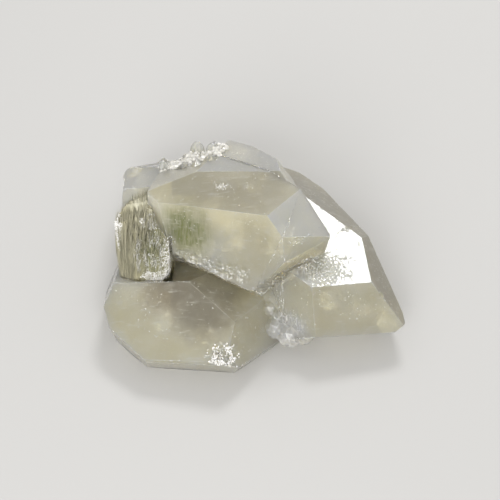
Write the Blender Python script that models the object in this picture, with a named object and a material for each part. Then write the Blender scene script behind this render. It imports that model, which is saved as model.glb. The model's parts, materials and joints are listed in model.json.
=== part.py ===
"""Quartz point cluster with byssolite: intergrown quartz crystals and a mat of byssolite fibres.

Two bodies: the quartz, one solid of crystals that grew into each other, and the mat of green
amphibole fibres on its left end, whose tongue runs into the main crystal.  Metres, +Z up, the
broken base flat on z = 0.  Facets are planes: the way each one faces, in degrees, and its
distance in millimetres from its crystal's centre.
"""
import math
import random
from dataclasses import dataclass

import bmesh
import bpy
from mathutils import Matrix, Vector

MM = 0.001
GAP = 0.3                # clearance between the two bodies, millimetres
BLOCK = 160.0            # side of the rough block that each crystal is cut from
WELD = 0.004             # points nearer than this are one point
GROOVE_COUNT = 6         # growth grooves on the main crystal's under-lip
GROOVE_PITCH = 0.95
GROOVE_WIDTH = 0.42
GROOVE_DEPTH = 0.35
STRAND_COUNT = 12        # raised bundles of fibres on the mat
STRAND_LENGTH = 14.5
STRAND_RADIUS = 0.8
STRAND_SPREAD = 7.4      # width that the bundles cover
STRAND_OFFSET = 0.4      # from the middle of the mat, toward the crystals
STRAND_HEADING = (-0.22, -1.0, 0.0)
DRUSE_SIDES = 6
DRUSE_TIP_SHARE = 0.34   # share of a small crystal's length that is its pyramid
DRUSE_LEAN = 26.0        # degrees that the small crystals stray from their patch's direction
SEED = 11


@dataclass(frozen=True)
class Facet:
    """A flat face: its compass direction, its tilt above level, its distance from the centre."""

    name: str
    azimuth: float
    elevation: float
    distance: float

    def normal(self):
        """Outward unit vector."""
        azimuth = math.radians(self.azimuth)
        elevation = math.radians(self.elevation)
        level = math.cos(elevation)
        return Vector((math.cos(azimuth) * level, math.sin(azimuth) * level, math.sin(elevation)))


@dataclass(frozen=True)
class Crystal:
    """A convex crystal: a centre and the facets around it."""

    name: str
    centre: tuple
    facets: tuple


MAIN = Crystal("main_crystal", (-3, 1, 16), (
    Facet("top", 139, 82, 11.3),
    Facet("front", -108, 29, 8.7),
    Facet("tip", -46, 52, 14.9),
    Facet("lip", -61, 31, 14.7),
    Facet("groove_wall", -59, -8, 13.5),
    Facet("under_left", -118, -25, 10.0),
    Facet("under_front", -100, -20, 12.0),
    Facet("back_left", 119, 51, 14.4),
    Facet("left_slant", -145, 9, 13.8),
    Facet("left_end", 172, 0, 17.8),
    Facet("wall_back_left", 118, -5, 18.6),
    Facet("back", 96, 60, 12.9),
    Facet("end_back", 47, -4, 8.9),
    Facet("end_right", 8, -6, 17.2),
    Facet("end_front", -25, -10, 19.0),
    Facet("base", 0, -90, 16.0),
))
SHOULDER = Crystal("back_shoulder", (-1, 11, 14), (
    Facet("top", 139, 82, 12.3),
    Facet("back", 96, 60, 9.7),
    Facet("back_right", 29, 35, 11.5),
    Facet("back_left", 119, 51, 11.0),
    Facet("wall_right", 35, 0, 6.8),
    Facet("wall_back", 54, 0, 8.8),
    Facet("wall_left", 149, -5, 9.8),
    Facet("end_right", 12, -12, 7.0),
    Facet("front", -95, 0, 8.9),
    Facet("heel", 80, -42, 15.0),
    Facet("base", 0, -90, 14.0),
))
RIGHT = Crystal("right_crystal", (17, -4, 9), (
    Facet("top", -9, 86, 6.7),
    Facet("front", -78, 43, 10.1),
    Facet("right", 6, 40, 8.9),
    Facet("back", 45, 50, 9.4),
    Facet("front_left", -127, 34, 11.9),
    Facet("wall_back", 54, -8, 16.8),
    Facet("wall_right", 27, -8, 8.8),
    Facet("wall_right_front", 26, -10, 10.2),
    Facet("wall_tip", 8, -12, 12.9),
    Facet("under_front", -86, -35, 12.9),
    Facet("under_tip", -45, -30, 16.8),
    Facet("heel_right", 5, -52, 12.6),
    Facet("heel_back", 60, -50, 17.4),
    Facet("wall_back_left", 98, -6, 26.0),
    Facet("left", 180, 0, 17.0),
    Facet("base", 0, -90, 9.0),
))
LOWER_LEFT = Crystal("lower_left_crystal", (-14, -14, 7), (
    Facet("front", -111, 68, 4.1),
    Facet("side", 15, 75, 6.9),
    Facet("right", -31, 38, 11.8),
    Facet("top", 100, 62, 7.6),
    Facet("left", -165, -8, 14.3),
    Facet("left_front", -134, -12, 11.7),
    Facet("left_back", 165, 20, 15.3),
    Facet("toe", -98, 22, 9.7),
    Facet("under_front", -94, -20, 10.0),
    Facet("under_right", -52, -20, 15.3),
    Facet("heel", -115, -48, 11.4),
    Facet("back", 90, 0, 17.0),
    Facet("base", 0, -90, 7.0),
))
CORNER = Crystal("corner_block", (-20, 14, 11), (
    Facet("top", 115, 62, 6.3),
    Facet("back", 95, 10, 6.3),
    Facet("back_left", 135, 20, 8.8),
    Facet("left", 178, 5, 6.9),
    Facet("front", -110, 35, 9.0),
    Facet("right", 0, 0, 12.0),
    Facet("heel", 140, -45, 11.6),
    Facet("base", 0, -90, 11.0),
))
MAT_BED = Crystal("mat_bed", (-22, 0, 11), (
    Facet("left", -174, -3, 4.9),
    Facet("left_back", 150, 25, 8.9),
    Facet("top", 170, 60, 8.0),
    Facet("slope", -145, 48, 4.1),
    Facet("front", -100, 10, 7.8),
    Facet("right", 0, 0, 6.0),
    Facet("back", 90, 0, 8.0),
    Facet("under", -150, -50, 8.6),
    Facet("base", 0, -90, 9.6),
))
MAT_TONGUE = Crystal("mat_tongue", (-14, 0, 18), (
    Facet("top", 100, 80, 4.6),
    Facet("front", -108, 29, 1.6),
    Facet("back", 75, -22, 1.9),
    Facet("tip_up", 20, 30, 5.2),
    Facet("tip_down", 10, -40, 4.6),
    Facet("under", -60, -75, 5.0),
    Facet("root", 180, 0, 7.0),
))

# Rounded growths: centre and three half sizes, millimetres.
LUMPS = (
    ("corner_lobe_high", (-24.7, 16.6, 14.4), (2.6, 2.6, 2.2)),
    ("corner_lobe_low", (-25.0, 13.4, 13.6), (2.3, 2.1, 2.3)),
    ("corner_nub", (-24.3, 10.6, 14.4), (1.5, 1.4, 1.5)),
    ("bump_middle", (8.2, -17.0, 5.2), (3.0, 2.5, 2.6)),
    ("bump_left", (5.4, -15.4, 5.4), (2.6, 2.4, 2.4)),
    ("bump_right", (10.9, -17.0, 5.4), (2.3, 2.2, 2.2)),
    ("bump_upper", (6.8, -13.4, 7.0), (2.9, 2.5, 2.3)),
    ("bump_saddle", (4.4, -12.2, 7.8), (2.2, 1.9, 1.8)),
)
# Shallow shell-shaped chips, cut with a ball: centre and radius, millimetres.
CHIPS = (
    ("bruise_upper", (-4.9, -23.6, 10.0), 1.2),
    ("bruise_middle", (-6.6, -24.6, 9.6), 1.3),
    ("bruise_lower", (-3.4, -25.4, 9.2), 1.1),
    ("right_top_chip", (19.9, 6.0, 16.5), 1.2),
    ("right_edge_chip", (24.5, -11.4, 15.9), 1.1),
    ("right_slope_chip", (26.8, -12.2, 13.2), 1.0),
    ("crown_chip", (-5.6, 4.2, 28.2), 1.1),
    ("lip_chip", (6.1, -7.6, 26.2), 1.1),
)
# Small white crystals behind the crown: foot, length and half width in millimetres, and direction.
DRUSE = (
    ((-11.3, 21.0, 12.0), 5.6, 1.9, (100, 50)),
    ((-8.4, 20.8, 12.4), 6.0, 1.6, (80, 50)),
    ((-13.4, 17.2, 14.0), 4.9, 1.7, (120, 50)),
    ((-10.2, 16.4, 16.2), 4.8, 1.9, (110, 60)),
    ((-15.6, 16.0, 13.6), 4.7, 1.7, (125, 55)),
    ((-18.6, 19.6, 11.6), 4.4, 1.5, (110, 60)),
    ((-17.2, 14.0, 14.6), 4.1, 1.6, (125, 60)),
    ((-13.6, 12.4, 18.0), 4.6, 1.8, (120, 60)),
    ((-10.6, 11.6, 20.0), 4.4, 1.7, (115, 58)),
    ((-7.8, 13.2, 20.0), 4.4, 1.6, (105, 60)),
    ((-7.2, 17.4, 16.4), 4.4, 1.7, (95, 60)),
    ((-6.4, 19.4, 14.6), 4.4, 1.4, (80, 50)),
    ((-15.8, 12.2, 17.4), 3.6, 1.4, (130, 65)),
    ((-11.8, 18.8, 14.6), 4.2, 1.6, (130, 60)),
)

QUARTZ_COLOUR = (0.50, 0.50, 0.43, 1.0)
BYSSOLITE_COLOUR = (0.24, 0.23, 0.13, 1.0)


def clear_scene():
    """Remove every object that the open file holds."""
    for obj in list(bpy.data.objects):
        bpy.data.objects.remove(obj, do_unlink=True)


def new_object(name, bm):
    """Turn a bmesh into an object in the scene, its faces pointing out."""
    bmesh.ops.recalc_face_normals(bm, faces=bm.faces)
    mesh = bpy.data.meshes.new(name)
    bm.to_mesh(mesh)
    bm.free()
    obj = bpy.data.objects.new(name, mesh)
    bpy.context.scene.collection.objects.link(obj)
    return obj


def facet_solid(crystal, grow=0.0):
    """Cut a block by a crystal's facets, each moved out by `grow` millimetres."""
    bm = bmesh.new()
    centre = Vector(crystal.centre)
    bmesh.ops.create_cube(bm, size=BLOCK, matrix=Matrix.Translation(centre))
    for facet in crystal.facets:
        normal = facet.normal()
        cut = bmesh.ops.bisect_plane(
            bm, geom=bm.verts[:] + bm.edges[:] + bm.faces[:], dist=1e-5,
            plane_co=centre + normal * (facet.distance + grow), plane_no=normal, clear_outer=True)
        rim = [item for item in cut["geom_cut"] if isinstance(item, bmesh.types.BMEdge)]
        if rim:
            bmesh.ops.edgenet_fill(bm, edges=rim)
    bmesh.ops.remove_doubles(bm, verts=bm.verts, dist=WELD)
    return new_object(crystal.name, bm)


def ball(name, centre, radii, subdivisions=2):
    """A rounded lump: a ball stretched to three half sizes."""
    bm = bmesh.new()
    shape = Matrix.Translation(Vector(centre)) @ Matrix.Diagonal((*radii, 1.0))
    bmesh.ops.create_icosphere(bm, subdivisions=subdivisions, radius=1.0, matrix=shape)
    return new_object(name, bm)


def direction(azimuth, elevation):
    """Unit vector from a compass direction and a tilt above level, both in degrees."""
    return Facet("way", azimuth, elevation, 0.0).normal()


def pointed_crystal(name, foot, way, length, half_width, turn):
    """A six-sided prism with a pyramid on its far end, standing on `foot` and pointing `way`."""
    bm = bmesh.new()
    frame = Matrix.Translation(Vector(foot)) @ way.to_track_quat("Z", "Y").to_matrix().to_4x4()
    frame = frame @ Matrix.Rotation(turn, 4, "Z")
    waist = length * (1.0 - DRUSE_TIP_SHARE)
    angles = [2.0 * math.pi * side / DRUSE_SIDES for side in range(DRUSE_SIDES)]
    rings = []
    for height in (0.0, waist):
        ring = [bm.verts.new(frame @ Vector((half_width * math.cos(a), half_width * math.sin(a), height)))
                for a in angles]
        rings.append(ring)
    peak = bm.verts.new(frame @ Vector((0.0, 0.0, length)))
    bm.faces.new(reversed(rings[0]))
    for side in range(DRUSE_SIDES):
        after = (side + 1) % DRUSE_SIDES
        bm.faces.new((rings[0][side], rings[0][after], rings[1][after], rings[1][side]))
        bm.faces.new((rings[1][side], rings[1][after], peak))
    return new_object(name, bm)


def combine(target, other, operation):
    """Apply a Boolean of `other` to `target` and remove `other`."""
    modifier = target.modifiers.new(operation.lower(), "BOOLEAN")
    modifier.operation = operation
    modifier.solver = "EXACT"
    modifier.object = other
    evaluated = target.evaluated_get(bpy.context.evaluated_depsgraph_get())
    mesh = bpy.data.meshes.new_from_object(evaluated)
    target.modifiers.clear()
    target.data = mesh
    bpy.data.objects.remove(other, do_unlink=True)


def druse_crystals():
    """The small white crystals, each straying a little from its patch's direction."""
    chance = random.Random(SEED)
    crystals = []
    for index, (foot, length, half_width, (azimuth, elevation)) in enumerate(DRUSE):
        way = direction(azimuth + chance.uniform(-DRUSE_LEAN, DRUSE_LEAN),
                        elevation + chance.uniform(-DRUSE_LEAN, DRUSE_LEAN) / 2.0)
        turn = chance.uniform(0.0, math.pi / 3.0)
        crystals.append(pointed_crystal(f"druse_{index}", foot, way, length, half_width, turn))
    return crystals


def growth_grooves():
    """Fine level grooves along the wall under the main crystal's lip."""
    wall = next(facet for facet in MAIN.facets if facet.name == "groove_wall")
    outward = wall.normal()
    along = Vector((0.0, 0.0, 1.0)).cross(outward).normalized()
    up = outward.cross(along).normalized()
    face_point = Vector(MAIN.centre) + outward * wall.distance
    grooves = []
    for index in range(GROOVE_COUNT):
        height = -2.6 + index * GROOVE_PITCH
        centre = face_point + up * height + along * 2.0
        bm = bmesh.new()
        axes = Matrix((along, up, outward)).transposed().to_4x4()
        size = Matrix.Diagonal((16.0, GROOVE_WIDTH, 2.0 * GROOVE_DEPTH, 1.0))
        tilt = Matrix.Rotation(math.radians(45.0), 4, "X")
        bmesh.ops.create_cube(bm, size=1.0, matrix=Matrix.Translation(centre) @ axes @ tilt @ size)
        grooves.append(new_object(f"groove_{index}", bm))
    return grooves


def strand(index, grow):
    """One raised bundle of fibres, tapering down the mat's slope."""
    slope = next(facet for facet in MAT_BED.facets if facet.name == "slope")
    outward = slope.normal()
    heading = Vector(STRAND_HEADING)
    down = (heading - outward * heading.dot(outward)).normalized()
    across = outward.cross(down)
    share = index / (STRAND_COUNT - 1) - 0.5
    chance = random.Random(SEED + index)
    sunk = 0.2 + 0.3 * chance.random()
    middle = Vector(MAT_BED.centre) + outward * (slope.distance - sunk)
    middle += across * (share * STRAND_SPREAD + STRAND_OFFSET) + down * chance.uniform(-0.8, 0.8)
    lean = (down + across * chance.uniform(-0.12, 0.12)).normalized()
    bm = bmesh.new()
    frame = Matrix.Translation(middle) @ lean.to_track_quat("Z", "Y").to_matrix().to_4x4()
    radius = STRAND_RADIUS * chance.uniform(0.8, 1.15) + grow
    bmesh.ops.create_cone(bm, cap_ends=True, segments=7, radius1=radius, radius2=0.35 * radius,
                          depth=STRAND_LENGTH * chance.uniform(0.8, 1.0) + 2.0 * grow, matrix=frame)
    return new_object(f"strand_{index}", bm)


def build_mat(grow=0.0):
    """The felt of byssolite fibres: its bed, the tongue inside the main crystal, the strands."""
    mat = facet_solid(MAT_BED, grow)
    combine(mat, facet_solid(MAT_TONGUE, grow), "UNION")
    for index in range(STRAND_COUNT):
        combine(mat, strand(index, grow), "UNION")
    return mat


def build_quartz():
    """The intergrown crystals as one solid, chipped and grooved, with room for the mat."""
    quartz = facet_solid(MAIN)
    combine_list = [facet_solid(crystal) for crystal in (SHOULDER, RIGHT, LOWER_LEFT, CORNER)]
    combine_list += [ball(name, centre, radii) for name, centre, radii in LUMPS]
    combine_list += druse_crystals()
    for other in combine_list:
        combine(quartz, other, "UNION")
    for groove in growth_grooves():
        combine(quartz, groove, "DIFFERENCE")
    for name, centre, radius in CHIPS:
        combine(quartz, ball(name, centre, (radius, radius, radius)), "DIFFERENCE")
    combine(quartz, build_mat(GAP), "DIFFERENCE")
    return quartz


def tidy_mesh(obj):
    """Weld stray points and close up flat faces."""
    bm = bmesh.new()
    bm.from_mesh(obj.data)
    bmesh.ops.remove_doubles(bm, verts=bm.verts, dist=WELD)
    bmesh.ops.dissolve_degenerate(bm, edges=bm.edges, dist=WELD)
    bmesh.ops.triangulate(bm, faces=bm.faces)
    bm.to_mesh(obj.data)
    bm.free()


def place(objects):
    """Scale to metres, with the middle of the whole box over the origin and the base on z = 0."""
    corners = [vertex.co for obj in objects for vertex in obj.data.vertices]
    low = Vector([min(corner[axis] for corner in corners) for axis in range(3)])
    high = Vector([max(corner[axis] for corner in corners) for axis in range(3)])
    shift = Vector((-(low.x + high.x) / 2.0, -(low.y + high.y) / 2.0, -low.z))
    for obj in objects:
        obj.data.transform(Matrix.Diagonal((MM, MM, MM, 1.0)) @ Matrix.Translation(shift))


def material(name, colour, roughness, transmission):
    """A Principled material with a plain colour."""
    made = bpy.data.materials.new(name)
    made.use_nodes = True
    shader = made.node_tree.nodes["Principled BSDF"]
    shader.inputs["Base Color"].default_value = colour
    shader.inputs["Roughness"].default_value = roughness
    shader.inputs["Transmission Weight"].default_value = transmission
    return made


def main():
    clear_scene()
    quartz = build_quartz()
    mat = build_mat()
    quartz.name = "quartz_cluster"
    mat.name = "byssolite_mat"
    for obj in (quartz, mat):
        tidy_mesh(obj)
    place((quartz, mat))
    quartz.data.materials.clear()
    quartz.data.materials.append(material("milky_quartz", QUARTZ_COLOUR, 0.25, 0.6))
    mat.data.materials.clear()
    mat.data.materials.append(material("byssolite", BYSSOLITE_COLOUR, 0.75, 0.0))


main()
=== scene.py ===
"""Quartz cluster with byssolite: its crystals, small growths, fibres, finishes and stage.

All sizes are in millimetres in the row frame unless a name or a note says metres.
"""
from __future__ import annotations

import json
import logging
import math
from dataclasses import dataclass, field
from enum import Enum
from functools import cached_property

import bmesh
import bpy
from mathutils import Matrix, Vector, noise
from mathutils.bvhtree import BVHTree
from mathutils.geometry import intersect_point_line
from mathutils.kdtree import KDTree

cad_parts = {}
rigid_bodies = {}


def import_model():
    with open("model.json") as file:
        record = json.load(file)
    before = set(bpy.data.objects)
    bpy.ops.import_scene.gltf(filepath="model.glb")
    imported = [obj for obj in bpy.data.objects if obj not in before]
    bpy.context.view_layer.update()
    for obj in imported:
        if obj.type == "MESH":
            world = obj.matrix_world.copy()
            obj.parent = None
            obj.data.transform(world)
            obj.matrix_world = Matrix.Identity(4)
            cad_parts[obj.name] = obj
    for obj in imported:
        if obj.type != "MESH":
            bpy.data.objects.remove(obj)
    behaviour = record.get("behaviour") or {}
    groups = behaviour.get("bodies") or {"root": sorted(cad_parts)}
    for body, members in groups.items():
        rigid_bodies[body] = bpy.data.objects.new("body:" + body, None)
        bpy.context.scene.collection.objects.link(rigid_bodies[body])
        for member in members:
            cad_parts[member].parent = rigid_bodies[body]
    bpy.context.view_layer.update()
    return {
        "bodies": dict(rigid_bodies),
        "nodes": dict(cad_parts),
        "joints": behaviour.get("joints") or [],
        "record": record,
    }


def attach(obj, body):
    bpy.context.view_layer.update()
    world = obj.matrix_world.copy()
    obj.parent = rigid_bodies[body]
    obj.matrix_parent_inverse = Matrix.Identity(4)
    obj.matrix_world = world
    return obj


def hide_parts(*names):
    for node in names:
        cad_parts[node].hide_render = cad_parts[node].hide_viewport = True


MM = 0.001
PASSES = 7
FINE_PASSES = 2
WELD = 0.002
NODE_SPACING = 180.0
QUARTZ_IOR = 1.544
LOG = logging.getLogger("quartz")
Colour = tuple[float, float, float]
Point = tuple[float, float, float]
BMesh = bmesh.types.BMesh
Object = bpy.types.Object
Material = bpy.types.Material
Socket = bpy.types.NodeSocket


# ---------------------------------------------------------------- node building


class NodeMaker:
    """Adds nodes to a tree from left to right and joins them."""

    def __init__(self, tree: bpy.types.NodeTree) -> None:
        """Start on an emptied tree."""
        self.tree = tree
        self.column = 0

    def feed(self, target: Socket, value: object) -> None:
        """Link a socket, or set a plain value, on an input.

        Args:
            target: The input.
            value: A socket, number, vector or colour.
        """
        if isinstance(value, Socket):
            self.tree.links.new(value, target)
        else:
            target.default_value = value

    def add(self, kind: str, inputs: dict[str | int, object] | None = None,
            **settings: object) -> bpy.types.Node:
        """Add a node.

        Args:
            kind: The node's type name.
            inputs: Sockets or plain values for its inputs, by name or number.
            settings: Attributes to set on it first.

        Returns:
            The new node.
        """
        node = self.tree.nodes.new(kind)
        node.location = (self.column * NODE_SPACING, 0.0)
        self.column += 1
        for name, value in settings.items():
            setattr(node, name, value)
        for key, value in (inputs or {}).items():
            self.feed(node.inputs[key], value)
        return node

    def math(self, operation: str, first: object, second: object) -> Socket:
        """A sum, product or the like of two numbers."""
        return self.add("ShaderNodeMath", {0: first, 1: second}, operation=operation).outputs[0]

    def vector(self, operation: str, first: object, second: object) -> Socket:
        """Combine two vectors, or scale one by a number.

        Args:
            operation: The operation's name.
            first: First vector or socket.
            second: Second vector or socket, or the number for SCALE.

        Returns:
            The vector.
        """
        other = "Scale" if operation == "SCALE" else 1
        node = self.add("ShaderNodeVectorMath", {0: first, other: second}, operation=operation)
        return node.outputs["Vector"]


class ShaderTree(NodeMaker):
    """A shader tree with short calls for the nodes used most."""

    def length(self, vector: Socket) -> Socket:
        """The length of a vector."""
        return self.add("ShaderNodeVectorMath", {0: vector}, operation="LENGTH").outputs["Value"]

    def own(self, name: str) -> Socket:
        """One of the piece's own attributes."""
        return self.add("ShaderNodeAttribute", attribute_name=name).outputs["Fac"]

    def mix(self, factor: object, first: object, second: object) -> Socket:
        """Mix two colours.

        Args:
            factor: Share of the second colour, 0 to 1.
            first: First colour or socket.
            second: Second colour or socket.

        Returns:
            The mixed colour.
        """
        first, second = (opaque(tone) if isinstance(tone, tuple) else tone
                         for tone in (first, second))
        node = self.add("ShaderNodeMix", {"Factor": factor, 6: first, 7: second},
                        data_type="RGBA")
        return node.outputs[2]

    def span(self, value: object, low: float, high: float, start: float = 0.0,
             end: float = 1.0) -> Socket:
        """Map a value smoothly from one range to another.

        Args:
            value: The value or socket.
            low: Where the result is `start`.
            high: Where the result is `end`.
            start: Result at `low`.
            end: Result at `high`.

        Returns:
            The mapped value.
        """
        limits = {"Value": value, "From Min": low, "From Max": high, "To Min": start,
                  "To Max": end}
        node = self.add("ShaderNodeMapRange", limits, interpolation_type="SMOOTHSTEP")
        return node.outputs["Result"]

    def noise(self, position: object, scale: float, detail: float = 3.0,
              roughness: float = 0.55) -> Socket:
        """A noise pattern, 0 to 1.

        Args:
            position: Where it is read.
            scale: Patterns per unit of position.
            detail: Octaves.
            roughness: Weight of the finer octaves.

        Returns:
            The pattern's value.
        """
        return self.add("ShaderNodeTexNoise", {
            "Vector": position, "Scale": scale, "Detail": detail,
            "Roughness": roughness}).outputs["Fac"]

    def cells(self, position: object, scale: float) -> Socket:
        """How far each place is from the middle of its cell."""
        look = {"Vector": position, "Scale": scale}
        return self.add("ShaderNodeTexVoronoi", look).outputs["Distance"]

    def bump(self, height: Socket, strength: float, depth: float) -> Socket:
        """The normal of a surface with relief.

        Args:
            height: The relief.
            strength: Its share, 0 to 1.
            depth: Its depth in millimetres.

        Returns:
            The normal.
        """
        look = {"Height": height, "Strength": strength, "Distance": depth * MM}
        return self.add("ShaderNodeBump", look).outputs["Normal"]

    def use(self, group: bpy.types.NodeTree, **values: object) -> bpy.types.NodeOutputs:
        """Place a node group.

        Args:
            group: The group.
            values: Values or sockets for its inputs.

        Returns:
            Its outputs.
        """
        return self.add("ShaderNodeGroup", values, node_tree=group).outputs


class GroupTree(ShaderTree):
    """A shader node group with named inputs and outputs."""

    NUMBERS = {"Ragged", "Pitch"}

    def __init__(self, name: str, *inputs: str) -> None:
        """Make the group.

        Args:
            name: The group's name.
            inputs: Names of its inputs; those in NUMBERS are numbers and the rest vectors.
        """
        group = bpy.data.node_groups.new(name, "ShaderNodeTree")
        for label in inputs:
            kind = "NodeSocketFloat" if label in self.NUMBERS else "NodeSocketVector"
            group.interface.new_socket(name=label, in_out="INPUT", socket_type=kind)
        super().__init__(group)
        self.given = self.add("NodeGroupInput").outputs

    def leave(self, **results: Socket) -> bpy.types.NodeTree:
        """Send values out of the group.

        Args:
            results: The value of each output.

        Returns:
            The finished group.
        """
        for label in results:
            kind = "NodeSocketVector" if label == "Position" else "NodeSocketFloat"
            self.tree.interface.new_socket(name=label, in_out="OUTPUT", socket_type=kind)
        self.add("NodeGroupOutput", results)
        return self.tree


class SharedEffects:
    """The node groups that several finishes use."""

    def __init__(self) -> None:
        """Build each group once."""
        self.position = self._position()
        self.spot = self._spot()
        self.haze = self._haze()
        self.grain = self._grain()
        self.mottle = self._mottle()

    @staticmethod
    def _position() -> bpy.types.NodeTree:
        """The place on the piece, in millimetres.

        Returns:
            The group.
        """
        tree = GroupTree("place_in_millimetres")
        place = tree.add("ShaderNodeTexCoord").outputs["Object"]
        return tree.leave(Position=tree.vector("MULTIPLY", place, (1.0 / MM,) * 3))

    @staticmethod
    def _spot() -> bpy.types.NodeTree:
        """A soft cloud around a place, 1 in its middle and 0 outside.

        Returns:
            The group.
        """
        tree = GroupTree("soft_spot", "Position", "Centre", "Radii", "Ragged")
        given = tree.given
        offset = tree.vector("SUBTRACT", given["Position"], given["Centre"])
        reach = tree.length(tree.vector("DIVIDE", offset, given["Radii"]))
        ragged = tree.noise(given["Position"], scale=0.35, detail=4.0)
        ragged = tree.math("SUBTRACT", ragged, 0.5)
        reach = tree.math("ADD", reach, tree.math("MULTIPLY", ragged, given["Ragged"]))
        return tree.leave(Mask=tree.span(reach, low=1.15, high=0.25))

    @staticmethod
    def _haze() -> bpy.types.NodeTree:
        """Cloudy bands inside a milky crystal, 0 clear to 1 cloudy.

        Returns:
            The group.
        """
        tree = GroupTree("milky_haze", "Position", "Stretch")
        stretched = tree.vector("MULTIPLY", tree.given["Position"], tree.given["Stretch"])
        haze = tree.noise(stretched, scale=0.09, detail=2.0, roughness=0.45)
        wisps = tree.noise(stretched, scale=0.4, detail=3.0, roughness=0.5)
        return tree.leave(Haze=tree.span(haze, low=0.28, high=0.74),
                          Wisps=tree.span(wisps, low=0.50, high=0.85))

    @staticmethod
    def _grain() -> bpy.types.NodeTree:
        """Fine surface grain: a height for bumps and a sprinkle of pits.

        Returns:
            The group.
        """
        tree = GroupTree("fine_grain", "Position", "Pitch")
        scaled = tree.vector("DIVIDE", tree.given["Position"], tree.given["Pitch"])
        height = tree.noise(scaled, scale=1.0, detail=2.0, roughness=0.5)
        pits = tree.cells(scaled, scale=0.45)
        return tree.leave(Height=height, Pits=tree.span(pits, low=0.22, high=0.06))

    @staticmethod
    def _mottle() -> bpy.types.NodeTree:
        """Soft blotches, 0 to 1.

        Returns:
            The group.
        """
        tree = GroupTree("soft_mottle", "Position")
        blotches = tree.noise(tree.given["Position"], scale=0.8)
        return tree.leave(Mottle=tree.span(blotches, low=0.35, high=0.7))


# ---------------------------------------------------------------- finishes


@dataclass(frozen=True)
class Patch:
    """A soft-edged patch of a surface."""

    centre: Point
    radii: Point
    ragged: float = 0.5


@dataclass(frozen=True)
class Spot:
    """A soft coloured cloud in the crystal, drawn out into upright streaks by `streak`."""

    centre: Point
    radii: Point
    colour: Colour
    strength: float
    ragged: float = 1.0
    streak: float = 0.0


QUARTZ_SPOTS = (
    Spot((-13.2, -2.0, 21.5), (6.8, 7.5, 6.5), (0.27, 0.30, 0.07), 1.0, 0.6, 0.45),
    Spot((-16.0, -10.5, 12.0), (8.5, 6.5, 4.0), (0.38, 0.315, 0.20), 0.92, 0.7),
    Spot((-9.0, -14.0, 11.0), (9.0, 8.5, 6.0), (0.40, 0.355, 0.24), 0.95, 0.7),
    Spot((-3.0, -12.0, 15.0), (6.0, 3.0, 3.0), (0.60, 0.56, 0.42), 0.4, 0.8),
    Spot((18.0, -12.0, 13.0), (9.0, 4.0, 3.0), (0.74, 0.72, 0.55), 0.5, 0.8),
    Spot((22.0, 2.0, 13.0), (4.0, 4.0, 4.0), (0.70, 0.58, 0.40), 0.5, 0.9),
    Spot((7.8, -15.8, 6.0), (6.4, 5.0, 5.4), (0.99, 0.965, 0.885), 0.95, 0.4),
    Spot((-25.0, 12.0, 14.0), (7.0, 8.0, 8.0), (0.99, 0.95, 0.80), 0.8, 0.6),
)


def opaque(colour: Colour) -> tuple[float, float, float, float]:
    """The colour with full alpha."""
    return (*colour, 1.0)


class FinishTree(ShaderTree):
    """A finish's tree, with the shared effects at hand."""

    def __init__(self, tree: bpy.types.NodeTree, shared: SharedEffects) -> None:
        """Start on an emptied tree."""
        super().__init__(tree)
        self.shared = shared

    @cached_property
    def place(self) -> Socket:
        """The place on the piece, in millimetres."""
        return self.use(self.shared.position)["Position"]

    def mask(self, patch: Patch | Spot) -> Socket:
        """How much each place is in a soft patch.

        Args:
            patch: The patch.

        Returns:
            1 in its middle, 0 outside.
        """
        return self.use(self.shared.spot, Position=self.place, Centre=patch.centre,
                        Radii=patch.radii, Ragged=patch.ragged)["Mask"]

    def mottle(self) -> Socket:
        """Soft blotches, 0 to 1."""
        return self.use(self.shared.mottle, Position=self.place)["Mottle"]


@dataclass(frozen=True)
class Finish:
    """A material with one Principled shader."""

    name: str

    def build(self, shared: SharedEffects) -> Material:
        """Build the material.

        Args:
            shared: The shared node groups.

        Returns:
            The material.
        """
        material = bpy.data.materials.new(self.name)
        material.use_nodes = True
        material.node_tree.nodes.clear()
        tree = FinishTree(material.node_tree, shared)
        shader = tree.add("ShaderNodeBsdfPrincipled", self.look(tree))
        ends = {"Surface": shader.outputs["BSDF"], **self.inside(tree)}
        tree.add("ShaderNodeOutputMaterial", ends)
        return material

    def look(self, tree: FinishTree) -> dict[str, object]:
        """The shader's inputs; each finish gives its own."""
        raise NotImplementedError

    def inside(self, tree: FinishTree) -> dict[str, object]:
        """What fills the body of the piece; nothing unless a finish says so."""
        return {}


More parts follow.
